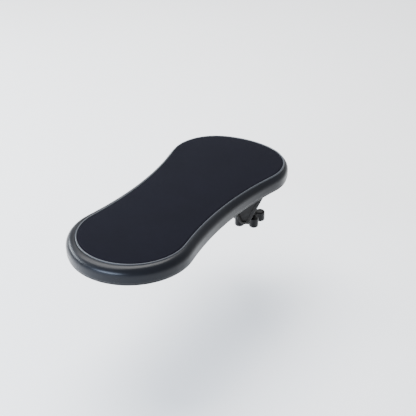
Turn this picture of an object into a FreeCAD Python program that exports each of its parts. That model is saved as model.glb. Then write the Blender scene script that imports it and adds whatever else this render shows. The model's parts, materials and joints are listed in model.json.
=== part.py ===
"""Clamp-on armrest pad: an hourglass cushion that swivels on a small screw clamp.

Millimetres. The origin is where the swivel axis meets the clamping face of the upper jaw.
+Z is up, and +X runs along the pad towards the end that carries the clamp.
"""
import FreeCAD, Part
import math
import os

Vec = FreeCAD.Vector
UP = Vec(0, 0, 1)

# Pad outline, in the pad's own plan frame: centre at 0, clamp end at +X
PAD_LENGTH = 290.0
NEAR_RADIUS = 60.5            # round lobe at the free end
FAR_HALF_WIDTH = 65.0         # half of the 130 mm width, at the clamp end
FAR_CORNER_RADIUS = 50.0
FAR_END_RADIUS = 90.0
WAIST_RADIUS = 355.0          # concave sides between the two lobes

# Fabric panel outline, inside the moulded rim
PANEL_NEAR_END = -133.6
PANEL_NEAR_RADIUS = 51.6
PANEL_FAR_END = 140.2
PANEL_FAR_HALF_WIDTH = 59.5
PANEL_CORNER_RADIUS = 46.0
PANEL_END_RADIUS = 86.0
PANEL_WAIST_RADIUS = 362.0

# Where the pad's centre lies from the swivel axis
PAD_X = -121.2
PAD_Y = 10.3

# Heights of the layers, counted from the clamping face
RUBBER_THICK = 2.0
FLANGE_THICK = 7.0
FLANGE_TOP = RUBBER_THICK + FLANGE_THICK
WASHER_THICK = 1.5
PAD_BOTTOM = FLANGE_TOP + WASHER_THICK
COVER_THICK = 2.6
RIM_BOTTOM = PAD_BOTTOM + COVER_THICK
PAD_THICK = 17.0
RIM_TOP = PAD_BOTTOM + PAD_THICK
BOARD_THICK = 8.0
BOARD_TOP = RIM_BOTTOM + BOARD_THICK
FABRIC_THICK = 1.2
FABRIC_TOP = RIM_TOP + 0.5
FOAM_TOP = FABRIC_TOP - FABRIC_THICK

# Rim shell and bead
RIM_SHOULDER = 7.5
RIM_LIP = 1.0
COVER_INSET = 0.8
COVER_EDGE = 2.0
COVER_GROOVE_INSET = 8.0      # shallow moulded line round the cover's underside
COVER_GROOVE_WIDTH = 1.2
COVER_GROOVE_DEPTH = 0.6
BEAD_WIDTH = 1.6
BEAD_DEPTH = 2.0
BEAD_PROUD = 0.3
BEAD_EDGE = 0.5
FABRIC_EDGE = 0.72
FIT_GAP = 0.2                 # slack between a panel and the pocket that holds it
PAST = 1.0                    # how far a cutting tool runs past the face that it opens
TOUCHING = 1e-4               # two places closer than this are the same

# Clamp, in its own frame: throat opens towards +X before it is turned
CLAMP_TURN = 19.2             # degrees from the pad's length to the clamp's throat
SPINE_OUTER = -28.0
SPINE_INNER = -20.0
SPINE_TIP_RADIUS = 7.0
SPINE_BOTTOM = -49.0
SPINE_TOP_HALF_WIDTH = 30.0
SPINE_RIB_WIDTH = 3.0
SPINE_PANEL_DEPTH = 1.6
SPINE_PANEL_TOP = 1.5
FLANGE_RADIUS = 22.0
FLANGE_HALF_WIDTH = 28.0      # where the upper jaw meets the spine
JAW_PAD_RADIUS = 20.0
JAW_PAD_EDGE = 0.6
JAW_TOP = -37.0
JAW_THICK = 8.0
JAW_BOTTOM = JAW_TOP - JAW_THICK
BOSS_RADIUS = 9.5
ARM_HALF_WIDTH = 6.5
ARM_FRONT = -4.0
ARM_FRONT_INSET = 1.4         # how far the arm's front corners lie inside the boss
ARM_ROOT = 2.0                # how deep the arm is let into the spine
GUSSET_THICK = 4.0
GUSSET_LENGTH = 7.0
GUSSET_HEIGHT = 12.0
SCREW_CLEARANCE = 0.4         # radial, under the threaded insert
EDGE_BREAK = 1.0

# Swivel joint on the origin axis
BOLT_RADIUS = 4.0
BOLT_HEAD_RADIUS = 8.0
BOLT_HEAD_THICK = 3.0
BOLT_KEY_FLATS = 5.0
BOLT_KEY_DEPTH = 2.2
BOLT_END = 0.5                # past the nut
RUNNING_GAP = 0.05            # radial clearance of the running fits
BUSH_RADIUS = 6.0
PLATE_THICK = 2.5
PLATE_LENGTH = 60.0
PLATE_WIDTH = 44.0
PLATE_FRONT = 10.0            # from the swivel axis to the plate's end
PLATE_CORNER = 6.0
NUT_FLATS = 13.0
NUT_THICK = 5.0
NUT_CONE = (9.4, 6.2, 8.0)    # base radius, top radius and height of the cone that bevels it
INNER_WASHER_RADIUS = 8.0
INNER_WASHER_THICK = 1.2
SWIVEL_WASHER_RADIUS = 17.0
NUT_POCKET_RADIUS = 9.5
NUT_POCKET_AIR = 0.8          # above the bolt's end

# Screws
COVER_SCREW_RADIUS = 1.75
COVER_SCREW_HEAD = 3.4
COVER_SCREW_INSET = 15.0
COVER_SCREW_SETBACK = 2.0     # behind the far corner's centre
COVER_SCREW_WAIST = 7.0       # closer in at the waist
COVER_SCREW_COVERED = 1.5     # board left over the tip
COVER_SINK = 1.6              # depth of the head's sink
COVER_HEAD_RECESS = 0.3
DRIVE_WIDTH = 0.8
DRIVE_LENGTH = 3.6
DRIVE_DEPTH = 0.9
PLATE_SCREW_RADIUS = 2.0
PLATE_SCREW_HEAD = 3.6
PLATE_SCREW_EDGE = 7.0
PLATE_SCREW_SINK = 1.6
PLATE_SCREW_COVERED = 1.0

# Clamp screw, foot and knob, on the origin axis
FOOT_TOP = -10.0
FOOT_RUBBER_THICK = 1.5
FOOT_THICK = 4.5
FOOT_RADIUS = 11.0
FOOT_BASE_RADIUS = 7.5
FOOT_STEP = 1.0               # from the rim of the foot in to its rubber and its cone
FOOT_RIM_THICK = 2.2
FOOT_EDGE = 0.5
FOOT_ROOF = 1.0               # foot left over the screw's end
CLIP_POCKET_RADIUS = 5.2
CLIP_POCKET_DEPTH = 1.4
CLIP_RADIUS = 4.6
CLIP_THICK = 0.7
CLIP_DROP = 2.1               # from the top of the foot to the clip's underside
CLIP_MOUTH = 2.4
SCREW_RADIUS = 4.0
NECK_RADIUS = 2.6
NECK_DROP = 1.1               # from the top of the foot to the neck's end
GROOVE_DEPTH = 0.65
CLIP_BITE = 0.6
CLIP_FLOAT = 0.05             # the groove is this much taller than the clip, each way
INSERT_FLATS = 13.0
INSERT_THICK = 6.5
KNOB_TOP = -48.2
KNOB_THICK = 12.0
KNOB_LOBES = 5
KNOB_LOBE_CIRCLE = 13.3
KNOB_LOBE_RADIUS = 5.2
KNOB_HUB_RADIUS = 10.5
KNOB_HUB_RAISE = 1.0
KNOB_TURN = 20.0              # degrees, where the first lobe points at rest
KNOB_EDGE = 1.6
KNOB_COLLAR_STEP = 3.5        # from the hub's side in to the raised collar
CAP_RADIUS = 6.5
CAP_THICK = 1.5
CAP_RECESS = 0.2
CAP_EDGE = 0.4
KNOB_INSERT_FLATS = 10.0
KNOB_INSERT_DROP = 2.0        # from the knob's top to the insert
DRIVE_ROOT_FLATS = 6.0        # hexagonal root of the clamp screw
DRIVE_ROOT_LOW = KNOB_TOP - KNOB_THICK + 2.0


def waist_centre(near_x, near_r, far_x, far_y, far_r, waist_r):
    """Centre of the concave side arc, which touches the near lobe and the far corner arc."""
    reach = math.hypot(far_x - near_x, far_y)
    to_near = waist_r + near_r
    to_far = waist_r + far_r
    along = (to_near ** 2 - to_far ** 2 + reach ** 2) / (2 * reach)
    aside = math.sqrt(to_near ** 2 - along ** 2)
    ux = (far_x - near_x) / reach
    uy = far_y / reach
    return near_x + ux * along - uy * aside, uy * along + ux * aside


def touch(centre_x, centre_y, other_x, other_y, radius):
    """Point on a circle in the direction of another centre."""
    span = math.hypot(other_x - centre_x, other_y - centre_y)
    x = centre_x + radius * (other_x - centre_x) / span
    y = centre_y + radius * (other_y - centre_y) / span
    return x, y


def hourglass(near_end, near_r, far_end, far_half, corner_r, end_r, waist_r, inset, z):
    """Closed face of the hourglass outline, drawn inside itself by inset, at height z."""
    near_x = near_end + near_r
    end_x = far_end - end_r
    corner_y = far_half - corner_r
    corner_x = end_x + math.sqrt((end_r - corner_r) ** 2 - corner_y ** 2)
    waist_x, waist_y = waist_centre(near_x, near_r, corner_x, corner_y, corner_r, waist_r)
    near_r -= inset
    corner_r -= inset
    end_r -= inset
    waist_r += inset
    ax, ay = touch(near_x, 0, waist_x, waist_y, near_r)
    bx, by = touch(corner_x, corner_y, waist_x, waist_y, corner_r)
    cx, cy = touch(end_x, 0, corner_x, corner_y, end_r)
    corner_mid = (math.atan2(by - corner_y, bx - corner_x) + math.atan2(cy - corner_y, cx - corner_x)) / 2
    mid_x = corner_x + corner_r * math.cos(corner_mid)
    mid_y = corner_y + corner_r * math.sin(corner_mid)
    sag = math.hypot((ax + bx) / 2 - waist_x, (ay + by) / 2 - waist_y)
    wx = waist_x + ((ax + bx) / 2 - waist_x) * waist_r / sag
    wy = waist_y + ((ay + by) / 2 - waist_y) * waist_r / sag

    def place(x, y):
        return Vec(x + PAD_X, y + PAD_Y, z)

    arcs = [
        Part.Arc(place(ax, -ay), place(near_x - near_r, 0), place(ax, ay)),
        Part.Arc(place(ax, ay), place(wx, wy), place(bx, by)),
        Part.Arc(place(bx, by), place(mid_x, mid_y), place(cx, cy)),
        Part.Arc(place(cx, cy), place(end_x + end_r, 0), place(cx, -cy)),
        Part.Arc(place(cx, -cy), place(mid_x, -mid_y), place(bx, -by)),
        Part.Arc(place(bx, -by), place(wx, -wy), place(ax, -ay)),
    ]
    return Part.Face(Part.Wire([arc.toShape() for arc in arcs]))


def pad_face(inset, z):
    """The pad's outer outline, as a face."""
    return hourglass(-PAD_LENGTH / 2, NEAR_RADIUS, PAD_LENGTH / 2, FAR_HALF_WIDTH,
                     FAR_CORNER_RADIUS, FAR_END_RADIUS, WAIST_RADIUS, inset, z)


def panel_face(inset, z):
    """The fabric panel's outline, as a face."""
    return hourglass(PANEL_NEAR_END, PANEL_NEAR_RADIUS, PANEL_FAR_END, PANEL_FAR_HALF_WIDTH,
                     PANEL_CORNER_RADIUS, PANEL_END_RADIUS, PANEL_WAIST_RADIUS, inset, z)


def slab(face, height):
    """Upright solid on a flat face."""
    return face.extrude(Vec(0, 0, height))


def rod(radius, low, high, x=0.0, y=0.0):
    """Upright cylinder between two heights."""
    return Part.makeCylinder(radius, high - low, Vec(x, y, low), UP)


def hex_prism(flats, low, high):
    """Upright hexagonal prism on the origin axis, by its width across flats."""
    corner = flats / math.sqrt(3)
    points = []
    for i in range(7):
        angle = math.radians(60 * i)
        points.append(Vec(corner * math.cos(angle), corner * math.sin(angle), low))
    return Part.Face(Part.makePolygon(points)).extrude(Vec(0, 0, high - low))


def edges_at(shape, z):
    """Edges of a shape that lie wholly at one height."""
    return [edge for edge in shape.Edges
            if abs(edge.BoundBox.ZMin - z) < TOUCHING and abs(edge.BoundBox.ZMax - z) < TOUCHING]


def turned(shape):
    """A clamp piece turned from its own frame to where the clamp stands under the pad."""
    copy = shape.copy()
    copy.rotate(Vec(0, 0, 0), UP, CLAMP_TURN)
    return copy


def cover_screw_places():
    """Plan positions of the screws that hold the base cover to the board."""
    far_x = PAD_LENGTH / 2 - FAR_CORNER_RADIUS - COVER_SCREW_SETBACK
    near_x = -PAD_LENGTH / 2 + NEAR_RADIUS
    lobe = NEAR_RADIUS - COVER_SCREW_INSET
    far = FAR_HALF_WIDTH - COVER_SCREW_INSET
    waist = lobe - COVER_SCREW_WAIST
    return [
        (near_x - lobe + PAD_X, PAD_Y),
        (near_x + PAD_X, PAD_Y + lobe),
        (near_x + PAD_X, PAD_Y - lobe),
        (PAD_X, PAD_Y + waist),
        (PAD_X, PAD_Y - waist),
        (far_x + PAD_X, PAD_Y + far),
        (far_x + PAD_X, PAD_Y - far),
    ]


def plate_screw_places():
    """Plan positions of the four screws at the corners of the pivot plate."""
    middle = PLATE_FRONT - PLATE_LENGTH / 2
    dx = PLATE_LENGTH / 2 - PLATE_SCREW_EDGE
    dy = PLATE_WIDTH / 2 - PLATE_SCREW_EDGE
    return [(middle + sx * dx, sy * dy) for sx in (-1, 1) for sy in (-1, 1)]


def plate_screw_head(x, y):
    """Countersunk cone of one plate screw."""
    place = Vec(x, y, RIM_BOTTOM)
    return Part.makeCone(PLATE_SCREW_HEAD, PLATE_SCREW_RADIUS, PLATE_SCREW_SINK, place, UP)


def make_cover_screws():
    """Self-tapping screws, pan heads sunk in the base cover."""
    screws = []
    low = PAD_BOTTOM + COVER_HEAD_RECESS
    seat = PAD_BOTTOM + COVER_SINK
    for x, y in cover_screw_places():
        screw = rod(COVER_SCREW_HEAD, low, seat, x, y)
        screw = screw.fuse(rod(COVER_SCREW_RADIUS, seat, BOARD_TOP - COVER_SCREW_COVERED, x, y))
        for dx, dy in ((DRIVE_WIDTH, DRIVE_LENGTH), (DRIVE_LENGTH, DRIVE_WIDTH)):
            screw = screw.cut(Part.makeBox(dx, dy, DRIVE_DEPTH, Vec(x - dx / 2, y - dy / 2, low)))
        screws.append(screw)
    return Part.makeCompound(screws)


def make_plate_screws():
    """Flat-headed screws that hold the pivot plate to the board, hidden by the base cover."""
    screws = []
    for x, y in plate_screw_places():
        shank = rod(PLATE_SCREW_RADIUS, RIM_BOTTOM + PLATE_SCREW_SINK, BOARD_TOP - PLATE_SCREW_COVERED, x, y)
        screws.append(plate_screw_head(x, y).fuse(shank))
    return Part.makeCompound(screws)


def make_base_cover():
    """Moulded bottom cover with a rounded edge, screw sinks and the hole for the bush."""
    cover = slab(pad_face(COVER_INSET, PAD_BOTTOM), COVER_THICK)
    cover = cover.makeFillet(COVER_EDGE, edges_at(cover, PAD_BOTTOM))
    under = PAD_BOTTOM - PAST
    groove = slab(pad_face(COVER_GROOVE_INSET, under), PAST + COVER_GROOVE_DEPTH)
    island = slab(pad_face(COVER_GROOVE_INSET + COVER_GROOVE_WIDTH, under), PAST + COVER_GROOVE_DEPTH)
    cover = cover.cut(groove.cut(island))
    cover = cover.cut(rod(BUSH_RADIUS, under, RIM_BOTTOM + PAST))
    for x, y in cover_screw_places():
        cover = cover.cut(rod(COVER_SCREW_HEAD + FIT_GAP, under, PAD_BOTTOM + COVER_SINK, x, y))
        cover = cover.cut(rod(COVER_SCREW_RADIUS, PAD_BOTTOM, RIM_BOTTOM + PAST, x, y))
    return cover


def make_rim_shell():
    """Moulded rim: rounded shoulder outside, pocket for board and foam, groove for the bead."""
    rim = slab(pad_face(0, RIM_BOTTOM), RIM_TOP - RIM_BOTTOM)
    rim = rim.makeFillet(RIM_SHOULDER, edges_at(rim, RIM_TOP))
    rim = rim.makeFillet(RIM_LIP, edges_at(rim, RIM_BOTTOM))
    pocket = slab(panel_face(0, RIM_BOTTOM - PAST), PAD_THICK + 2 * PAST)
    groove = slab(panel_face(-BEAD_WIDTH, RIM_TOP - BEAD_DEPTH), PAD_THICK)
    return rim.cut(pocket).cut(groove)


def make_core_board():
    """Stiff board that carries the load, with a recess for the pivot plate and a nut pocket."""
    board = slab(panel_face(FIT_GAP, RIM_BOTTOM), BOARD_THICK)
    under = RIM_BOTTOM - PAST
    board = board.cut(plate_blank(FIT_GAP, under, RIM_BOTTOM + PLATE_THICK))
    board = board.cut(rod(NUT_POCKET_RADIUS, RIM_BOTTOM, BOARD_TOP + PAST))
    for x, y in cover_screw_places():
        board = board.cut(rod(COVER_SCREW_RADIUS, under, BOARD_TOP - COVER_SCREW_COVERED, x, y))
    for x, y in plate_screw_places():
        board = board.cut(rod(PLATE_SCREW_RADIUS, under, BOARD_TOP - PLATE_SCREW_COVERED, x, y))
    return board


def make_foam_cushion():
    """Foam layer on the board, under the fabric, hollowed over the swivel's nut."""
    foam = slab(panel_face(FIT_GAP, BOARD_TOP), FOAM_TOP - BOARD_TOP)
    return foam.cut(rod(NUT_POCKET_RADIUS, BOARD_TOP - PAST, bolt_top() + NUT_POCKET_AIR))


def make_fabric_top():
    """Fabric panel on the foam, with a softened edge."""
    fabric = slab(panel_face(FIT_GAP, FOAM_TOP), FABRIC_THICK)
    return fabric.makeFillet(FABRIC_EDGE, edges_at(fabric, FABRIC_TOP))


def make_edge_bead():
    """Thin round-topped strip in the groove between the fabric and the rim."""
    low = RIM_TOP - BEAD_DEPTH
    bead = slab(panel_face(-BEAD_WIDTH, low), BEAD_DEPTH + BEAD_PROUD)
    bead = bead.makeFillet(BEAD_EDGE, edges_at(bead, RIM_TOP + BEAD_PROUD))
    return bead.cut(slab(panel_face(0, low - PAST), PAD_THICK))


def plate_blank(slack, low, high):
    """Rounded rectangle of the pivot plate, grown by slack."""
    x0 = PLATE_FRONT - PLATE_LENGTH - slack
    y0 = -PLATE_WIDTH / 2 - slack
    plate = Part.makeBox(PLATE_LENGTH + 2 * slack, PLATE_WIDTH + 2 * slack, high - low, Vec(x0, y0, low))
    upright = [edge for edge in plate.Edges if edge.BoundBox.ZLength > (high - low) / 2]
    return plate.makeFillet(PLATE_CORNER, upright)


def make_pivot_plate():
    """Steel plate let into the board, which carries the swivel."""
    plate = plate_blank(0, RIM_BOTTOM, RIM_BOTTOM + PLATE_THICK)
    low, high = RIM_BOTTOM - PAST, RIM_BOTTOM + PLATE_THICK + PAST
    plate = plate.cut(rod(BUSH_RADIUS, low, high))
    for x, y in plate_screw_places():
        plate = plate.cut(rod(PLATE_SCREW_RADIUS, low, high, x, y)).cut(plate_screw_head(x, y))
    return plate


def make_pivot_bush():
    """Plain bush pressed through the cover and the pivot plate, for the bolt to turn in."""
    top = RIM_BOTTOM + PLATE_THICK
    bush = rod(BUSH_RADIUS, PAD_BOTTOM, top)
    return bush.cut(rod(BOLT_RADIUS + RUNNING_GAP, PAD_BOTTOM - PAST, top + PAST))


def bolt_top():
    """Height of the end of the pivot bolt, just above its nut."""
    return RIM_BOTTOM + PLATE_THICK + RUNNING_GAP + INNER_WASHER_THICK + NUT_THICK + BOLT_END


def make_pivot_bolt():
    """Flat-headed swivel bolt with a hex key recess, head sunk in the upper jaw."""
    bolt = rod(BOLT_HEAD_RADIUS, RUBBER_THICK, RUBBER_THICK + BOLT_HEAD_THICK)
    bolt = bolt.fuse(rod(BOLT_RADIUS, RUBBER_THICK + BOLT_KEY_DEPTH, bolt_top()))
    return bolt.cut(hex_prism(BOLT_KEY_FLATS, RUBBER_THICK - PAST, RUBBER_THICK + BOLT_KEY_DEPTH))


def make_inner_washer():
    """Steel washer between the pivot plate and the lock nut."""
    low = RIM_BOTTOM + PLATE_THICK + RUNNING_GAP
    washer = rod(INNER_WASHER_RADIUS, low, low + INNER_WASHER_THICK)
    return washer.cut(rod(BOLT_RADIUS, low - PAST, low + INNER_WASHER_THICK + PAST))


def make_lock_nut():
    """Hex lock nut that keeps the pad on the bolt and sets how stiffly it swivels."""
    low = RIM_BOTTOM + PLATE_THICK + RUNNING_GAP + INNER_WASHER_THICK
    nut = hex_prism(NUT_FLATS, low, low + NUT_THICK)
    nut = nut.common(Part.makeCone(*NUT_CONE, Vec(0, 0, low), UP))
    return nut.cut(rod(BOLT_RADIUS, low - PAST, low + NUT_THICK + PAST))


def make_swivel_washer():
    """Slippery washer between the clamp's upper jaw and the pad."""
    high = PAD_BOTTOM - RUNNING_GAP
    washer = rod(SWIVEL_WASHER_RADIUS, FLANGE_TOP, high)
    return washer.cut(rod(BOLT_RADIUS, FLANGE_TOP - PAST, high + PAST))


def upper_jaw():
    """Flat upper jaw: a round plate that widens back to a block over the spine."""
    disc = rod(FLANGE_RADIUS, RUBBER_THICK, FLANGE_TOP)
    half = FLANGE_HALF_WIDTH
    swing = math.atan2(half, SPINE_INNER) - math.acos(FLANGE_RADIUS / math.hypot(SPINE_INNER, half))
    tx = FLANGE_RADIUS * math.cos(swing)
    ty = FLANGE_RADIUS * math.sin(swing)
    corners = [(SPINE_OUTER, -half), (SPINE_INNER, -half), (tx, -ty), (tx, ty),
               (SPINE_INNER, half), (SPINE_OUTER, half), (SPINE_OUTER, -half)]
    wedge = Part.Face(Part.makePolygon([Vec(x, y, RUBBER_THICK) for x, y in corners]))
    jaw = disc.fuse(wedge.extrude(Vec(0, 0, FLANGE_THICK))).removeSplitter()
    return jaw.makeFillet(EDGE_BREAK, edges_at(jaw, RUBBER_THICK) + edges_at(jaw, FLANGE_TOP))


def spine_face(inset, top_z, x):
    """The spine's outline seen along the throat: wide at the top, round at the tip."""
    centre_z = SPINE_BOTTOM + SPINE_TIP_RADIUS
    radius = SPINE_TIP_RADIUS - inset
    rise = FLANGE_TOP - centre_z
    span = math.hypot(SPINE_TOP_HALF_WIDTH, rise)
    swing = math.atan2(rise, SPINE_TOP_HALF_WIDTH) - math.acos(SPINE_TIP_RADIUS / span)
    nx = math.cos(swing)
    nz = math.sin(swing)
    touch_y = radius * nx
    touch_z = centre_z + radius * nz
    top_y = touch_y + (top_z - touch_z) * -nz / nx
    left = Vec(x, -touch_y, touch_z)
    right = Vec(x, touch_y, touch_z)
    edges = [
        Part.Arc(left, Vec(x, 0, centre_z - radius), right).toShape(),
        Part.LineSegment(right, Vec(x, top_y, top_z)).toShape(),
        Part.LineSegment(Vec(x, top_y, top_z), Vec(x, -top_y, top_z)).toShape(),
        Part.LineSegment(Vec(x, -top_y, top_z), left).toShape(),
    ]
    return Part.Face(Part.Wire(edges))


def spine():
    """Tapered back of the clamp, with a raised rib along each edge of its outer face."""
    top = RUBBER_THICK + EDGE_BREAK
    plate = spine_face(0, top, SPINE_OUTER).extrude(Vec(SPINE_INNER - SPINE_OUTER, 0, 0))
    outer = [edge for edge in plate.Edges
             if abs(edge.BoundBox.XMax - SPINE_OUTER) < TOUCHING and edge.BoundBox.ZMin < RUBBER_THICK]
    plate = plate.makeFillet(EDGE_BREAK, outer)
    panel = spine_face(SPINE_RIB_WIDTH, SPINE_PANEL_TOP, SPINE_OUTER - PAST)
    panel = panel.extrude(Vec(PAST + SPINE_PANEL_DEPTH, 0, 0))
    return plate.cut(panel)


def lower_jaw():
    """Arm from the spine to the round boss that holds the screw, with a gusset above it."""
    boss = rod(BOSS_RADIUS, JAW_BOTTOM, JAW_TOP)
    root = ARM_HALF_WIDTH
    back = SPINE_INNER - ARM_ROOT
    front = BOSS_RADIUS - ARM_FRONT_INSET
    reach = [(back, -root), (ARM_FRONT, -front), (ARM_FRONT, front), (back, root), (back, -root)]
    arm = Part.Face(Part.makePolygon([Vec(x, y, JAW_BOTTOM) for x, y in reach]))
    arm = arm.extrude(Vec(0, 0, JAW_THICK))
    jaw = boss.fuse(arm).removeSplitter()
    jaw = jaw.makeFillet(EDGE_BREAK, edges_at(jaw, JAW_BOTTOM) + edges_at(jaw, JAW_TOP))
    rear, toe = SPINE_INNER - PAST, SPINE_INNER + GUSSET_LENGTH
    base, peak = JAW_TOP - PAST, JAW_TOP + GUSSET_HEIGHT
    rib = [(rear, base), (toe, base), (toe, JAW_TOP), (SPINE_INNER, peak), (rear, peak), (rear, base)]
    gusset = Part.Face(Part.makePolygon([Vec(x, -GUSSET_THICK / 2, z) for x, z in rib]))
    gusset = gusset.extrude(Vec(0, GUSSET_THICK, 0))
    return jaw.fuse(gusset)


def make_clamp_frame():
    """One-piece moulded C frame: upper jaw, spine and lower jaw."""
    frame = upper_jaw().fuse(spine()).fuse(lower_jaw()).removeSplitter()
    head_top = RUBBER_THICK + BOLT_HEAD_THICK
    frame = frame.cut(rod(BOLT_RADIUS, RUBBER_THICK - PAST, FLANGE_TOP + PAST))
    frame = frame.cut(rod(BOLT_HEAD_RADIUS + FIT_GAP, RUBBER_THICK - PAST, head_top))
    frame = frame.cut(rod(SCREW_RADIUS + SCREW_CLEARANCE, JAW_BOTTOM - PAST, JAW_TOP + PAST))
    frame = frame.cut(hex_prism(INSERT_FLATS, JAW_TOP - INSERT_THICK, JAW_TOP + PAST))
    return turned(frame)


def make_upper_jaw_pad():
    """Rubber disc glued to the upper jaw, over the bolt's head."""
    pad = rod(JAW_PAD_RADIUS, 0, RUBBER_THICK)
    return pad.makeFillet(JAW_PAD_EDGE, edges_at(pad, 0))


def make_thread_insert():
    """Hex brass insert in the lower jaw that the clamp screw turns in."""
    low = JAW_TOP - INSERT_THICK
    insert = hex_prism(INSERT_FLATS, low, JAW_TOP)
    return turned(insert.cut(rod(SCREW_RADIUS + RUNNING_GAP, low - PAST, JAW_TOP + PAST)))


def make_foot_rubber():
    """Rubber face of the pressure foot."""
    rubber = rod(FOOT_RADIUS - FOOT_STEP, FOOT_TOP - FOOT_RUBBER_THICK, FOOT_TOP)
    return rubber.makeFillet(FOOT_EDGE, edges_at(rubber, FOOT_TOP))


def foot_bottom():
    """Height of the underside of the pressure foot."""
    return FOOT_TOP - FOOT_RUBBER_THICK - FOOT_THICK


def make_pressure_foot():
    """Round foot with a socket for the screw's neck and a groove for its clip."""
    top = FOOT_TOP - FOOT_RUBBER_THICK
    low = foot_bottom()
    roof = top - FOOT_ROOF
    foot = rod(FOOT_RADIUS, top - FOOT_RIM_THICK, top)
    foot = foot.makeFillet(FOOT_EDGE, edges_at(foot, top))
    cone_height = FOOT_THICK - FOOT_RIM_THICK
    cone = Part.makeCone(FOOT_BASE_RADIUS, FOOT_RADIUS - FOOT_STEP, cone_height, Vec(0, 0, low), UP)
    foot = foot.fuse(cone)
    foot = foot.cut(rod(NECK_RADIUS + RUNNING_GAP, low - PAST, roof))
    return foot.cut(rod(CLIP_POCKET_RADIUS, roof - CLIP_POCKET_DEPTH, roof)).removeSplitter()


def make_foot_clip():
    """Retaining clip in the screw's neck groove, inside the foot."""
    top = FOOT_TOP - FOOT_RUBBER_THICK
    low = top - CLIP_DROP
    clip = rod(CLIP_RADIUS, low, low + CLIP_THICK)
    clip = clip.cut(rod(NECK_RADIUS - CLIP_BITE, low - PAST, top))
    mouth = Part.makeBox(CLIP_RADIUS + PAST, CLIP_MOUTH, CLIP_THICK + 2 * PAST,
                         Vec(0, -CLIP_MOUTH / 2, low - PAST))
    return clip.cut(mouth)


def make_clamp_screw():
    """Clamp screw: threaded length, neck with a clip groove, and a hex root for the knob."""
    top = FOOT_TOP - FOOT_RUBBER_THICK
    low = foot_bottom()
    clip_low = top - CLIP_DROP
    screw = rod(SCREW_RADIUS, KNOB_TOP - KNOB_INSERT_DROP, low - 2 * RUNNING_GAP)
    screw = screw.fuse(rod(NECK_RADIUS, low - PAST, top - NECK_DROP))
    groove = rod(NECK_RADIUS + PAST, clip_low - CLIP_FLOAT, clip_low + CLIP_THICK + CLIP_FLOAT)
    screw = screw.cut(groove.cut(rod(NECK_RADIUS - GROOVE_DEPTH, clip_low - PAST, top)))
    return screw.fuse(hex_prism(DRIVE_ROOT_FLATS, DRIVE_ROOT_LOW, KNOB_TOP - PAST)).removeSplitter()


def make_star_knob():
    """Five-lobed hand knob with rounded lobes and a raised hub."""
    low = KNOB_TOP - KNOB_THICK
    body = rod(KNOB_HUB_RADIUS, low, KNOB_TOP)
    for i in range(KNOB_LOBES):
        angle = math.radians(KNOB_TURN + 360.0 * i / KNOB_LOBES)
        x = KNOB_LOBE_CIRCLE * math.cos(angle)
        y = KNOB_LOBE_CIRCLE * math.sin(angle)
        lobe = rod(KNOB_LOBE_RADIUS, low, KNOB_TOP, x, y)
        lobe = lobe.makeFillet(KNOB_EDGE, edges_at(lobe, low) + edges_at(lobe, KNOB_TOP))
        body = body.fuse(lobe)
    collar_top = KNOB_TOP + KNOB_HUB_RAISE
    insert_top = KNOB_TOP - KNOB_INSERT_DROP
    body = body.fuse(rod(KNOB_HUB_RADIUS - KNOB_COLLAR_STEP, KNOB_TOP - PAST, collar_top))
    body = body.cut(rod(SCREW_RADIUS, insert_top, collar_top + PAST))
    body = body.cut(hex_prism(KNOB_INSERT_FLATS, low + CAP_THICK, insert_top))
    return body.cut(rod(CAP_RADIUS, low - PAST, low + CAP_THICK)).removeSplitter()


def make_knob_insert():
    """Hex metal core of the knob that drives the screw."""
    low = KNOB_TOP - KNOB_THICK + CAP_THICK
    insert = hex_prism(KNOB_INSERT_FLATS, low, KNOB_TOP - KNOB_INSERT_DROP)
    return insert.cut(hex_prism(DRIVE_ROOT_FLATS, DRIVE_ROOT_LOW, KNOB_TOP))


def make_knob_cap():
    """Round cap that closes the underside of the knob."""
    low = KNOB_TOP - KNOB_THICK
    cap = rod(CAP_RADIUS, low + CAP_RECESS, low + CAP_THICK)
    return cap.makeFillet(CAP_EDGE, edges_at(cap, low + CAP_RECESS))


PIECES = {
    "fabric_top": make_fabric_top,
    "foam_cushion": make_foam_cushion,
    "edge_bead": make_edge_bead,
    "rim_shell": make_rim_shell,
    "core_board": make_core_board,
    "base_cover": make_base_cover,
    "cover_screws": make_cover_screws,
    "pivot_plate": make_pivot_plate,
    "plate_screws": make_plate_screws,
    "pivot_bush": make_pivot_bush,
    "swivel_washer": make_swivel_washer,
    "pivot_bolt": make_pivot_bolt,
    "inner_washer": make_inner_washer,
    "lock_nut": make_lock_nut,
    "clamp_frame": make_clamp_frame,
    "upper_jaw_pad": make_upper_jaw_pad,
    "thread_insert": make_thread_insert,
    "pressure_foot": make_pressure_foot,
    "foot_rubber": make_foot_rubber,
    "foot_clip": make_foot_clip,
    "clamp_screw": make_clamp_screw,
    "star_knob": make_star_knob,
    "knob_insert": make_knob_insert,
    "knob_cap": make_knob_cap,
}

os.makedirs("parts", exist_ok=True)
for name, make in PIECES.items():
    shape = make()
    box = shape.BoundBox
    print(f"{name:14s} solids {len(shape.Solids)} valid {shape.isValid()} volume {shape.Volume:10.1f} "
          f"z {box.ZMin:7.2f} {box.ZMax:7.2f}")
    shape.exportStep(f"parts/{name}.step")
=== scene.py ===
"""Looks of the clamp-on armrest pad: fabric pad, moulded rim, clamp, thread and knob."""
import json
import math

import bmesh
import bpy
import numpy as np
from mathutils import Matrix, Vector, noise


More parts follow.
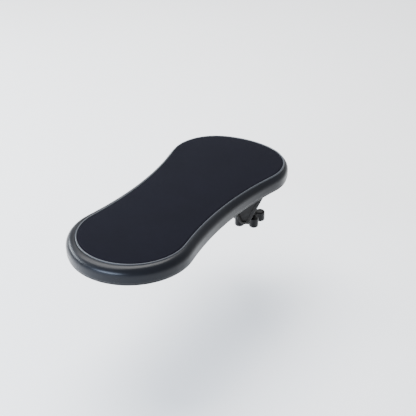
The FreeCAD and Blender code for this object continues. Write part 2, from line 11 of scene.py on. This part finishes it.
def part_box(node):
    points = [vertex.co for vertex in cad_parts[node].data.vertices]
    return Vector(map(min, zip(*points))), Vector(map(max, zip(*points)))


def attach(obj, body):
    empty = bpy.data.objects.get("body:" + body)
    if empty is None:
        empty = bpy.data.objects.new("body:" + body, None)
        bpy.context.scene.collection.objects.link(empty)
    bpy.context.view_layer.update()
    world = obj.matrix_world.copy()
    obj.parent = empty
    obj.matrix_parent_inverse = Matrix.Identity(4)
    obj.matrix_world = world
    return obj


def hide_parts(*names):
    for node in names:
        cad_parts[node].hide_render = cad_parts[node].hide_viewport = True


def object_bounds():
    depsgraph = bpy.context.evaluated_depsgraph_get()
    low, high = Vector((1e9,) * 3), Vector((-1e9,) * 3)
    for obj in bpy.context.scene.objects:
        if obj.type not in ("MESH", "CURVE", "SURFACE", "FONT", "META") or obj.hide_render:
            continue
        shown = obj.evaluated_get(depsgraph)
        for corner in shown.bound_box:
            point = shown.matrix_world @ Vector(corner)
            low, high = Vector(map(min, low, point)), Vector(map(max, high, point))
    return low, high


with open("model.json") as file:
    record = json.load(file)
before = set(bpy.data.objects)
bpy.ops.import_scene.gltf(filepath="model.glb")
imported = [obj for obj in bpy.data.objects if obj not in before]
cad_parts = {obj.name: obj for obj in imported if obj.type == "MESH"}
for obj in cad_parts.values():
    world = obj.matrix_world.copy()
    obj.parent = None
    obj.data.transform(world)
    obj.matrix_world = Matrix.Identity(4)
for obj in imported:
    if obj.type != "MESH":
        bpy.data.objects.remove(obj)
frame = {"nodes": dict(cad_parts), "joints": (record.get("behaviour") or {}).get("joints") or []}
cad_low, cad_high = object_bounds()

MM = 0.001

# Sizes are in millimetres unless a comment says otherwise.

# Pad outlines, in the pad's plan frame: centre at 0, clamp end at +X
RIM_SHAPE = dict(near_end=-145.0, near_r=60.5, far_end=145.0, far_half=65.0,
                 corner_r=50.0, end_r=90.0, waist_r=355.0)
PANEL_SHAPE = dict(near_end=-133.6, near_r=51.6, far_end=140.2, far_half=59.5,
                   corner_r=46.0, end_r=86.0, waist_r=362.0)
ARC_STEPS = (44, 40, 26, 14)       # points along lobe, waist, corner and end, on one side
EASE_PASSES = 14                   # rounds of averaging where one arc meets the next

# Rim
RIM_SHOULDER = 7.5
SHOULDER_STEPS = 18
RIM_LIP = 1.0
LIP_STEPS = 5
RIM_LIP_INSET = 0.22               # of the side where the lip starts
RIM_DRAFT = ((0.35, 0.06), (0.7, 0.14), (1.0, RIM_LIP_INSET))   # share of the way down, inset
RIM_WALL_LOW = 2.0                 # inner wall's ends, from the rim's bottom and from its top
RIM_WALL_HIGH = 0.5
RIM_EDGE_ROUND = 0.25              # drop of the inner edge
RIM_EDGE_STEPS = 1.5               # steps in from the inner edge over which that drop fades

# Bead between the fabric and the rim
BEAD_WIDTH = 1.6                   # of its groove
BEAD_HALF_WIDTH = 0.9
BEAD_HALF_HEIGHT = 0.95
BEAD_DROP = 1.15                   # from the top of the CAD fabric to the bead's middle
BEAD_STEPS = 12

# Fabric
FABRIC_INSET = 0.15
FABRIC_ROOT = 0.2                  # where its side starts, above the board
FABRIC_EDGE_DROP = 0.35            # from the top of the CAD fabric to the top of the rolled edge
EDGE_ROLL = 1.3
ROLL_STEPS = 6
CROWN = 1.1                        # how far the fabric rises above its edge at the middle
CROWN_POWER = 2.2                  # higher rises sooner and is flatter in the middle
CROWN_STEPS = 34
UNEVEN_HEIGHT = 0.10
UNEVEN_SCALE = 0.035               # waves per millimetre
UNEVEN_LAYER = 4.2                 # which slice of the noise is used
UNEVEN_FADE = 5                    # rings over which it comes in from the edge

# Clamp screw
THREAD_PITCH = 1.25
THREAD_DEPTH = 0.62
THREAD_SIDES = 36
THREAD_LEVELS = 16                 # rings in one turn
THREAD_FLANK = (1.25, 1.5)         # groove's depth at its middle before the cap, and its slope
THREAD_FADE = 1.2                  # length over which the groove runs out at each end
THREAD_START = 0.2                 # share of the depth that the groove has at its lower end
THREAD_IN_KNOB = 1.0               # from the knob's top down to the thread's lower end
THREAD_FOOT_GAP = 0.1
THREAD_STEP = 0.01                 # height of the step from the thread to the neck
NECK_RADIUS = 2.5

# Knob
KNOB_LOBES = 5
KNOB_TURN = 20.0                   # degrees, where the first lobe points at rest
KNOB_SIDES = 180
LOBE_CIRCLE = 13.3
LOBE_RADIUS = 5.2
HUB_RADIUS = 9.6
HUB_BLEND = 900.0                  # per metre; higher joins lobes and hub more sharply
KNOB_EDGE = 2.0
KNOB_EDGE_STEPS = 6
KNOB_COLLAR = 1.0
CAP_RECESS = ((6.5, 0.25), (6.8, 0.0))                 # radius, height above the underside
COLLAR_PROFILE = ((7.4, KNOB_COLLAR), (7.0, 0.8), (6.8, 0.3),    # radius, drop
                  (6.4, 0.0), (4.1, 0.0))

# Camera: angles in degrees, lens and sensor in millimetres, the rest in metres
CAMERA_AZIMUTH = -59.2
CAMERA_ELEVATION = 30.1
CAMERA_DISTANCE = 0.982
CAMERA_LENS = 86.5
SENSOR_WIDTH = 36.0
AIM_RIGHT = 0.0266
AIM_UP = -0.0051

# Studio, in metres
FLOOR_DROP = 0.045                 # clear air under the knob's lowest place
FLOOR_SIZE = 12
SKY_COLOUR = (0.95, 0.97, 1.0, 1)
SKY_STRENGTH = 0.9
LIGHTS = {                         # place from the object's middle, size, watts, colour
    "top": ((0.3, 0.6, 1.5), (1.6, 1.2), 60, (1, 1, 1)),
    "left_strip": ((-0.25, 1.1, 0.42), (1.2, 0.2), 18, (0.84, 0.92, 1.0)),
    "front_strip": ((-1.2, 0.12, 0.36), (0.75, 0.05), 24, (0.62, 0.76, 1.0)),
}

rim_low, rim_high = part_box("rim_shell")
board_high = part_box("core_board")[1]
fabric_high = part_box("fabric_top")[1]
PAD_CENTRE = ((rim_low + rim_high) / 2).to_2d()


# ---------------------------------------------------------------- outlines and skins

def side_arcs(shape, inset):
    """Arcs of one side of the hourglass, near end to far end: centre, radius, first and last angle."""
    near_x = shape["near_end"] + shape["near_r"]
    end_x = shape["far_end"] - shape["end_r"]
    corner_y = shape["far_half"] - shape["corner_r"]
    corner_x = end_x + math.sqrt((shape["end_r"] - shape["corner_r"]) ** 2 - corner_y ** 2)
    span = math.hypot(corner_x - near_x, corner_y)
    to_near = shape["waist_r"] + shape["near_r"]
    to_far = shape["waist_r"] + shape["corner_r"]
    along = (to_near ** 2 - to_far ** 2 + span ** 2) / (2 * span)
    aside = math.sqrt(to_near ** 2 - along ** 2)
    ux, uy = (corner_x - near_x) / span, corner_y / span
    waist_x = near_x + ux * along - uy * aside
    waist_y = uy * along + ux * aside
    near_touch = math.atan2(waist_y, waist_x - near_x)
    far_touch = math.atan2(waist_y - corner_y, waist_x - corner_x)
    end_touch = math.atan2(corner_y, corner_x - end_x)
    return [
        (near_x, 0, shape["near_r"] - inset, math.pi, near_touch),
        (waist_x, waist_y, shape["waist_r"] + inset, near_touch - math.pi, far_touch - math.pi),
        (corner_x, corner_y, shape["corner_r"] - inset, far_touch, end_touch),
        (end_x, 0, shape["end_r"] - inset, end_touch, 0),
    ]


def averaged(points):
    """Closed loop of points, each drawn towards its neighbours several times."""
    for _ in range(EASE_PASSES):
        points = (np.roll(points, 1, 0) + 2 * points + np.roll(points, -1, 0)) / 4
    return points


def outline(shape, inset=0.0):
    """Points round the hourglass, the same count for any shape and inset.

    Averaging evens out the jump in curvature between arcs. It also shrinks the loop a little,
    so a second averaging measures that shrinkage and it is added back.
    """
    side = []
    for (cx, cy, r, a0, a1), steps in zip(side_arcs(shape, inset), ARC_STEPS):
        for i in range(steps):
            a = a0 + (a1 - a0) * i / steps
            side.append((cx + r * math.cos(a), cy + r * math.sin(a)))
    side.append((shape["far_end"] - inset, 0.0))
    other = [(x, -y) for x, y in reversed(side[1:-1])]
    once = averaged(np.array(side + other))
    return 2 * once - averaged(once)


def ring(points, z):
    """A ring of 3-D points in metres, in the row frame, from plan points and a height in metres."""
    heights = np.broadcast_to(z, (len(points),))
    plan = points * MM + np.array(PAD_CENTRE)
    return np.column_stack([plan, heights])


def turned_ring(sides, z, radius_at):
    """A ring round the Z axis; radius_at gives its radius in metres at each angle."""
    angles = np.arange(sides) * 2 * math.pi / sides
    radii = np.array([radius_at(angle) for angle in angles])
    return np.column_stack([radii * np.cos(angles), radii * np.sin(angles), np.full(sides, z)])


def round_ring(sides, z, radius):
    """A circle round the Z axis, its radius in millimetres."""
    return turned_ring(sides, z, lambda angle: radius * MM)


def new_object(name, verts, faces):
    """A smooth mesh object in the scene, with its normals outwards."""
    mesh = bpy.data.meshes.new(name)
    mesh.from_pydata([tuple(v) for v in verts], [], faces)
    work = bmesh.new()
    work.from_mesh(mesh)
    bmesh.ops.recalc_face_normals(work, faces=work.faces)
    work.to_mesh(mesh)
    work.free()
    for poly in mesh.polygons:
        poly.use_smooth = True
    obj = bpy.data.objects.new(name, mesh)
    bpy.context.scene.collection.objects.link(obj)
    return obj


def loft(name, rings, capped=False):
    """Skin through rings: either capped at both ends, or a tube whose last ring joins its first."""
    count = len(rings[0])
    verts = np.vstack(rings)
    last = len(rings) - 1
    pairs = [(k, k + 1) for k in range(last)]
    if not capped:
        pairs.append((last, 0))
    faces = []
    for a, b in pairs:
        for i in range(count):
            j = (i + 1) % count
            faces.append((a * count + i, a * count + j, b * count + j, b * count + i))
    if capped:
        faces.append(tuple(range(count)))
        faces.append(tuple(last * count + i for i in range(count)))
    return new_object(name, verts, faces)


# ---------------------------------------------------------------- pieces

def make_rim():
    """Moulded rim: flat top falling into a round shoulder, drafted side and small bottom lip."""
    top, low = rim_high.z, rim_low.z
    outer = outline(RIM_SHAPE)
    inner = outline(PANEL_SHAPE, -BEAD_WIDTH)
    width = np.linalg.norm(outer - inner, axis=1)
    rings = [ring(inner, low + RIM_WALL_LOW * MM), ring(inner, top - RIM_WALL_HIGH * MM)]
    for k in range(SHOULDER_STEPS + 1):
        share = 1 - math.sin(math.pi / 2 * k / SHOULDER_STEPS)
        deep = np.clip(RIM_SHOULDER - width * share, 0, None)
        drop = RIM_SHOULDER - np.sqrt(RIM_SHOULDER ** 2 - deep ** 2)
        edge_drop = RIM_EDGE_ROUND * max(0.0, 1 - k / RIM_EDGE_STEPS)
        rings.append(ring(outer + (inner - outer) * share, top - (drop + edge_drop) * MM))
    shoulder_z = top - RIM_SHOULDER * MM
    lip_z = low + RIM_LIP * MM
    for share, draft in RIM_DRAFT:
        rings.append(ring(outline(RIM_SHAPE, draft), shoulder_z + (lip_z - shoulder_z) * share))
    for k in range(1, LIP_STEPS + 1):
        phi = math.pi / 2 * k / LIP_STEPS
        inset = RIM_LIP_INSET + RIM_LIP * (1 - math.cos(phi))
        rings.append(ring(outline(RIM_SHAPE, inset), lip_z - RIM_LIP * math.sin(phi) * MM))
    rings.append(ring(inner, low))
    return loft("rim_skin", rings)


def make_bead():
    """Thin round strip between the fabric and the rim."""
    rings = []
    middle = fabric_high.z - BEAD_DROP * MM
    for k in range(BEAD_STEPS):
        phi = 2 * math.pi * k / BEAD_STEPS
        offset = -BEAD_WIDTH / 2 + BEAD_HALF_WIDTH * math.cos(phi)
        height = middle + BEAD_HALF_HEIGHT * math.sin(phi) * MM
        rings.append(ring(outline(PANEL_SHAPE, offset), height))
    return loft("bead_strip", rings)


def make_fabric():
    """Fabric over foam: edge rolled down into the groove, low crown, slight unevenness."""
    edge = outline(PANEL_SHAPE, FABRIC_INSET)
    near_arc, _, corner_arc, _ = side_arcs(PANEL_SHAPE, 0)
    middle_x = np.clip(edge[:, 0], near_arc[0], corner_arc[0])
    middle_line = np.column_stack([middle_x, np.zeros(len(edge))])
    inward = middle_line - edge
    reach = np.linalg.norm(inward, axis=1)
    roll_top = fabric_high.z - FABRIC_EDGE_DROP * MM
    rings = [ring(edge, board_high.z + FABRIC_ROOT * MM), ring(edge, roll_top - EDGE_ROLL * MM)]
    for k in range(1, ROLL_STEPS + 1):
        phi = math.pi / 2 * k / ROLL_STEPS
        share = EDGE_ROLL * (1 - math.cos(phi)) / reach
        plan = edge + inward * share[:, None]
        rings.append(ring(plan, roll_top - EDGE_ROLL * (1 - math.sin(phi)) * MM))
    for k in range(1, CROWN_STEPS):
        run = EDGE_ROLL + (reach - EDGE_ROLL) * k / CROWN_STEPS
        plan = edge + inward * (run / reach)[:, None]
        rise = CROWN * (1 - (1 - k / CROWN_STEPS) ** CROWN_POWER)
        waves = [noise.noise(Vector((x * UNEVEN_SCALE, y * UNEVEN_SCALE, UNEVEN_LAYER))) for x, y in plan]
        uneven = UNEVEN_HEIGHT * np.array(waves) * min(1.0, k / UNEVEN_FADE)
        rings.append(ring(plan, roll_top + (rise + uneven) * MM))
    return loft("fabric_pad", rings, capped=True)


def make_thread():
    """Clamp screw with a cut helical thread and a plain neck at each end."""
    low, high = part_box("clamp_screw")
    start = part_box("star_knob")[1].z - THREAD_IN_KNOB * MM
    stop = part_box("pressure_foot")[0].z - THREAD_FOOT_GAP * MM
    major = (high.x - low.x) / 2
    pitch = THREAD_PITCH * MM
    middle_depth, slope = THREAD_FLANK

    def radius_at(angle, z):
        phase = ((z - start) / pitch - angle / (2 * math.pi)) % 1.0
        from_middle = abs(phase - 0.5) * 2
        cut = THREAD_DEPTH * min(1.0, max(0.0, middle_depth - from_middle * slope))
        fade = min(1.0, (stop - z) / (THREAD_FADE * MM), (z - start) / (THREAD_FADE * MM) + THREAD_START)
        return major - cut * max(0.0, fade) * MM

    levels = int((stop - start) / pitch * THREAD_LEVELS)
    heights = [start + (stop - start) * i / levels for i in range(levels + 1)]
    rings = [round_ring(THREAD_SIDES, z, NECK_RADIUS) for z in (low.z, start - THREAD_STEP * MM)]
    rings += [turned_ring(THREAD_SIDES, z, lambda angle: radius_at(angle, z)) for z in heights]
    rings += [round_ring(THREAD_SIDES, z, NECK_RADIUS) for z in (stop + THREAD_STEP * MM, high.z)]
    return loft("threaded_screw", rings, capped=True)


def make_knob():
    """Five-lobed knob: rounded lobes on a waisted body, with a collar above and a recess below."""
    low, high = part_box("star_knob")
    recess_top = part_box("knob_cap")[1].z
    body_top = high.z - KNOB_COLLAR * MM
    spacing = 2 * math.pi / KNOB_LOBES
    lobe_circle, edge = LOBE_CIRCLE * MM, KNOB_EDGE * MM

    def reach(angle, shrink):
        """Radius of the body at an angle: the larger of lobe and hub, blended where they meet."""
        away = (angle - math.radians(KNOB_TURN) + spacing / 2) % spacing - spacing / 2
        across = lobe_circle * math.sin(away)
        lobe_r = LOBE_RADIUS * MM - shrink
        lobe = 0
        if abs(across) < lobe_r:
            lobe = lobe_circle * math.cos(away) + math.sqrt(lobe_r * lobe_r - across * across)
        hub = HUB_RADIUS * MM - shrink
        return math.log(math.exp(lobe * HUB_BLEND) + math.exp(hub * HUB_BLEND)) / HUB_BLEND

    def lobed_ring(shrink, z):
        return turned_ring(KNOB_SIDES, z, lambda angle: reach(angle, shrink))

    turns = [math.pi / 2 * k / KNOB_EDGE_STEPS for k in range(KNOB_EDGE_STEPS + 1)]
    rings = [round_ring(KNOB_SIDES, recess_top, CAP_RECESS[0][0])]
    rings += [round_ring(KNOB_SIDES, low.z + height * MM, r) for r, height in CAP_RECESS]
    rings += [lobed_ring(edge * (1 - math.sin(t)), low.z + edge * (1 - math.cos(t))) for t in turns]
    rings += [lobed_ring(edge * (1 - math.cos(t)), body_top - edge * (1 - math.sin(t))) for t in turns]
    rings += [round_ring(KNOB_SIDES, high.z - drop * MM, r) for r, drop in COLLAR_PROFILE]
    return loft("knob_body", rings, capped=True)


# ---------------------------------------------------------------- materials

WEAVE_PITCH = 0.85                 # millimetres from thread to thread
FABRIC_COLOUR = (0.0024, 0.0024, 0.0052)
BOARD_DARK = (0.20, 0.13, 0.07)
BOARD_LIGHT = (0.36, 0.25, 0.14)
FLOOR_DARK = (0.95, 0.95, 0.95)
FLOOR_LIGHT = (0.97, 0.97, 0.97)

CLOUD_SCALE = 30.0                 # cycles per metre of the soft cloudiness in moulded parts
CLOUD_SPREAD = 0.16                # how much lighter or darker it makes them
RUB_SHARE = 0.12                   # strength of the faint rubbed marks

MOULDED = {                        # colour, roughness, grain per metre, its depth, specular level
    "soft_rim_skin": ((0.0028, 0.0036, 0.0060), 0.30, 1500, 0.010, 0.21),
    "grained_cover": ((0.007, 0.007, 0.008), 0.5, 2000, 0.04, 0.25),
    "textured_nylon": ((0.018, 0.017, 0.0162), 0.52, 1900, 0.05, 0.2),
    "satin_knob": ((0.0022, 0.0022, 0.0024), 0.27, 1200, 0.01, 0.2),
    # The bead's colour is many times lighter and bluer than the rim and fabric: painted highlight for the
    # thin light line along the groove
    "bead_painted_highlight": ((0.026, 0.030, 0.038), 0.42, 1600, 0.01, 0.5),
    "matt_rubber": ((0.016, 0.016, 0.016), 0.82, 900, 0.05, 0.5),
    "black_nylon": ((0.02, 0.02, 0.02), 0.5, 1400, 0.02, 0.5),
    "natural_acetal": ((0.62, 0.61, 0.56), 0.4, 1400, 0.01, 0.5),
}
METALS = {                         # colour, roughness
    "black_oxide": ((0.06, 0.06, 0.065), 0.4),
    "zinc_plate": ((0.62, 0.62, 0.64), 0.3),
    "turned_brass": ((0.70, 0.50, 0.22), 0.3),
}


class Paint:
    """Small helper that builds a node material round a Principled shader."""

    def __init__(self, name, rough, metal=0.0, **sockets):
        self.material = bpy.data.materials.new(name)
        self.material.use_nodes = True
        self.tree = self.material.node_tree
        self.shader = self.tree.nodes["Principled BSDF"]
        self.shader.inputs["Roughness"].default_value = rough
        self.shader.inputs["Metallic"].default_value = metal
        for socket, value in sockets.items():
            self.shader.inputs[socket.replace("_", " ")].default_value = value
        self.place = self.add("ShaderNodeTexCoord").outputs["Object"]

    def add(self, kind, **values):
        node = self.tree.nodes.new(kind)
        for key, value in values.items():
            setattr(node, key, value)
        return node

    def link(self, a, b):
        self.tree.links.new(a, b)

    def grain(self, scale, detail=3.0, stretch=(1, 1, 1)):
        """Noise value in the row frame; scale is in cycles per metre."""
        mapping = self.add("ShaderNodeMapping")
        mapping.inputs["Scale"].default_value = stretch
        self.link(self.place, mapping.inputs["Vector"])
        node = self.add("ShaderNodeTexNoise")
        node.inputs["Scale"].default_value = scale
        node.inputs["Detail"].default_value = detail
        self.link(mapping.outputs["Vector"], node.inputs["Vector"])
        return node.outputs["Fac"]

    def calc(self, operation, *values):
        """Result of a Math node; each value is a number or another node's output."""
        node = self.add("ShaderNodeMath", operation=operation)
        for socket, value in zip(node.inputs, values):
            if isinstance(value, (int, float)):
                socket.default_value = value
            else:
                self.link(value, socket)
        return node.outputs[0]

    def blend(self, factor, low, high, a, b):
        """Colour that runs from a to b as factor goes from low to high."""
        ramp = self.add("ShaderNodeValToRGB")
        for element, position, colour in zip(ramp.color_ramp.elements, (low, high), (a, b)):
            element.position = position
            element.color = (*colour, 1)
        self.link(factor, ramp.inputs["Fac"])
        return ramp.outputs["Color"]

    def mix(self, factor, a, b):
        """Colour between a and b; each is a colour or another node's output."""
        node = self.add("ShaderNodeMix", data_type="RGBA")
        if isinstance(factor, (int, float)):
            node.inputs["Factor"].default_value = factor
        else:
            self.link(factor, node.inputs["Factor"])
        for value, socket in ((a, node.inputs[6]), (b, node.inputs[7])):
            if isinstance(value, tuple):
                socket.default_value = (*value, 1)
            else:
                self.link(value, socket)
        return node.outputs[2]

    def colour(self, value):
        self.link(value, self.shader.inputs["Base Color"])

    def rough(self, factor, low, high):
        """Roughness from low to high over the middle range of a noise value."""
        node = self.add("ShaderNodeMapRange")
        node.inputs["From Min"].default_value = 0.3
        node.inputs["From Max"].default_value = 0.7
        node.inputs["To Min"].default_value = low
        node.inputs["To Max"].default_value = high
        self.link(factor, node.inputs["Value"])
        self.link(node.outputs["Result"], self.shader.inputs["Roughness"])

    def bump(self, height, depth, strength=1.0):
        """Bumps of a depth in millimetres."""
        node = self.add("ShaderNodeBump")
        node.inputs["Distance"].default_value = depth * MM
        node.inputs["Strength"].default_value = strength
        self.link(height, node.inputs["Height"])
        self.link(node.outputs["Normal"], self.shader.inputs["Normal"])


def scaled(colour, factor):
    return tuple(c * factor for c in colour)


def fabric_paint():
    """Close plain weave, near black with a violet cast, faintly fuzzy and unevenly dyed."""
    paint = Paint("woven_fabric", 0.9, Sheen_Weight=0.02, Sheen_Roughness=0.5, Specular_IOR_Level=0.05)
    base = FABRIC_COLOUR
    split = paint.add("ShaderNodeSeparateXYZ")
    paint.link(paint.place, split.inputs[0])
    turns = 2 * math.pi / (WEAVE_PITCH * MM)
    warp = paint.calc("SINE", paint.calc("MULTIPLY", split.outputs[0], turns))
    weft = paint.calc("SINE", paint.calc("MULTIPLY", split.outputs[1], turns))
    weave = paint.calc("MULTIPLY_ADD", paint.calc("MULTIPLY", warp, weft), 0.5, 0.5)
    fuzz = paint.grain(2600, 2.0)
    height = paint.calc("ADD", weave, paint.calc("MULTIPLY", fuzz, 0.6))
    cloudy = paint.blend(paint.grain(28, 4.0), 0.3, 0.7, scaled(base, 0.82), scaled(base, 1.22))
    threads = paint.blend(height, 0.25, 1.0, scaled(base, 0.55), scaled(base, 1.55))
    paint.colour(paint.mix(0.5, cloudy, threads))
    paint.rough(fuzz, 0.82, 0.96)
    paint.bump(height, 0.12, 0.8)
    return paint.material


def moulded_paint(name):
    """Moulded plastic or skinned foam: fine texture, soft cloudiness, faint rubbed marks."""
    base, rough, grain_scale, depth, specular = MOULDED[name]
    paint = Paint(name, rough, Specular_IOR_Level=specular)
    fine = paint.grain(grain_scale, 2.0)
    broad = paint.grain(CLOUD_SCALE, 5.0)
    body = paint.blend(broad, 0.3, 0.7, scaled(base, 1 - CLOUD_SPREAD), scaled(base, 1 + CLOUD_SPREAD))
    pits = paint.blend(fine, 0.35, 0.6, scaled(base, 0.75), scaled(base, 1.1))
    rubbed = paint.blend(paint.grain(CLOUD_SCALE * 6, 3.0, (1, 3, 1)), 0.66, 0.8, (0, 0, 0), (1, 1, 1))
    tone = paint.mix(0.35, body, pits)
    paint.colour(paint.mix(paint.calc("MULTIPLY", rubbed, RUB_SHARE), tone, scaled(base, 1.9)))
    paint.rough(broad, rough - 0.05, rough + 0.07)
    paint.bump(fine, depth)
    return paint.material


def metal_paint(name):
    """Turned or plated metal with fine tool marks and dull spots."""
    base, rough = METALS[name]
    paint = Paint(name, rough, metal=1.0)
    marks = paint.grain(700, 3.0, (1, 1, 12))
    dull = paint.grain(120, 4.0)
    paint.colour(paint.blend(dull, 0.3, 0.75, scaled(base, 0.78), base))
    paint.rough(dull, rough - 0.06, rough + 0.14)
    paint.bump(marks, 0.01, 0.6)
    return paint.material


def board_paint():
    """Fibreboard: matted fibres in warm brown."""
    paint = Paint("fibreboard", 0.8)
    fibres = paint.grain(900, 4.0, (1, 0.3, 1))
    paint.colour(paint.blend(fibres, 0.3, 0.7, BOARD_DARK, BOARD_LIGHT))
    paint.bump(fibres, 0.05)
    return paint.material


def floor_paint():
    """Pale, slightly uneven studio floor."""
    paint = Paint("pale_floor", 0.8)
    paint.colour(paint.blend(paint.grain(3, 2.0), 0.3, 0.7, FLOOR_DARK, FLOOR_LIGHT))
    return paint.material


def give(obj, material):
    """One material over the whole object."""
    obj.data.materials.clear()
    obj.data.materials.append(material)


def add_piece(obj, body, slot, material, *nodes):
    """A finished piece: its material, its body and the CAD nodes that it stands for; the slot argument is
    not used.
    """
    give(obj, material)
    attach(obj, body)
    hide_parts(*nodes)
    return obj


# ---------------------------------------------------------------- camera, light and floor

def make_camera():
    """Camera that looks down at the pad's length from beside its free end."""
    data = bpy.data.cameras.new("camera")
    data.lens = CAMERA_LENS
    data.sensor_width = SENSOR_WIDTH
    camera = bpy.data.objects.new("camera", data)
    bpy.context.scene.collection.objects.link(camera)
    az, el = math.radians(CAMERA_AZIMUTH), math.radians(CAMERA_ELEVATION)
    back = Vector((math.sin(az) * math.cos(el), -math.cos(az) * math.cos(el), math.sin(el)))
    right = Vector((math.cos(az), math.sin(az), 0))
    up = back.cross(right)
    middle = Vector((*PAD_CENTRE, (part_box("base_cover")[0].z + rim_high.z) / 2))
    place = Matrix([*zip(right, up, back)]).to_4x4()
    place.translation = middle + right * AIM_RIGHT + up * AIM_UP + back * CAMERA_DISTANCE
    camera.matrix_world = place
    bpy.context.scene.camera = camera


def area_light(name, middle, offset, size, power, tint):
    """Rectangular lamp at an offset from the object's middle, turned to face it."""
    data = bpy.data.lights.new(name, "AREA")
    data.shape = "RECTANGLE"
    data.size, data.size_y = size
    data.energy = power
    data.color = tint
    light = bpy.data.objects.new(name, data)
    bpy.context.scene.collection.objects.link(light)
    light.location = middle + Vector(offset)
    light.rotation_euler = (middle - light.location).to_track_quat("-Z", "Y").to_euler()


def make_studio():
    """Pale floor under the knob's lowest place, even sky and three area lights."""
    middle = (cad_low + cad_high) / 2
    travel = min(joint["range_m"][0] for joint in frame["joints"] if joint["type"] == "slide")
    floor_z = cad_low.z + travel - FLOOR_DROP
    bpy.ops.mesh.primitive_plane_add(size=FLOOR_SIZE, location=(middle.x, middle.y, floor_z))
    floor = bpy.context.object
    floor.name = "floor"
    give(floor, floor_paint())
    world = bpy.data.worlds.new("studio")
    bpy.context.scene.world = world
    world.use_nodes = True
    sky = world.node_tree.nodes["Background"]
    sky.inputs["Color"].default_value = SKY_COLOUR
    sky.inputs["Strength"].default_value = SKY_STRENGTH
    for name, lamp in LIGHTS.items():
        area_light(name, middle, *lamp)


# ---------------------------------------------------------------- the object

make_camera()
make_studio()

moulded = {name: moulded_paint(name) for name in MOULDED}
metal = {name: metal_paint(name) for name in METALS}

pad_fabric = add_piece(make_fabric(), "pad", "fabric", fabric_paint(), "fabric_top", "foam_cushion")
add_piece(make_rim(), "pad", "rim", moulded["soft_rim_skin"], "rim_shell")
add_piece(make_bead(), "pad", "bead", moulded["bead_painted_highlight"], "edge_bead")
add_piece(make_thread(), "screw", "steel", metal["zinc_plate"], "clamp_screw")
add_piece(make_knob(), "screw", "knob", moulded["satin_knob"], "star_knob")

FINISHES = {
    "core_board": board_paint(),
    "base_cover": moulded["grained_cover"],
    "cover_screws": metal["black_oxide"],
    "pivot_plate": metal["zinc_plate"],
    "plate_screws": metal["zinc_plate"],
    "pivot_bush": moulded["natural_acetal"],
    "swivel_washer": moulded["black_nylon"],
    "pivot_bolt": metal["zinc_plate"],
    "inner_washer": metal["zinc_plate"],
    "lock_nut": metal["zinc_plate"],
    "clamp_frame": moulded["textured_nylon"],
    "upper_jaw_pad": moulded["matt_rubber"],
    "thread_insert": metal["turned_brass"],
    "pressure_foot": moulded["black_nylon"],
    "foot_rubber": moulded["matt_rubber"],
    "foot_clip": metal["zinc_plate"],
    "knob_insert": metal["zinc_plate"],
    "knob_cap": moulded["satin_knob"],
}
for node, material in FINISHES.items():
    give(frame["nodes"][node], material)
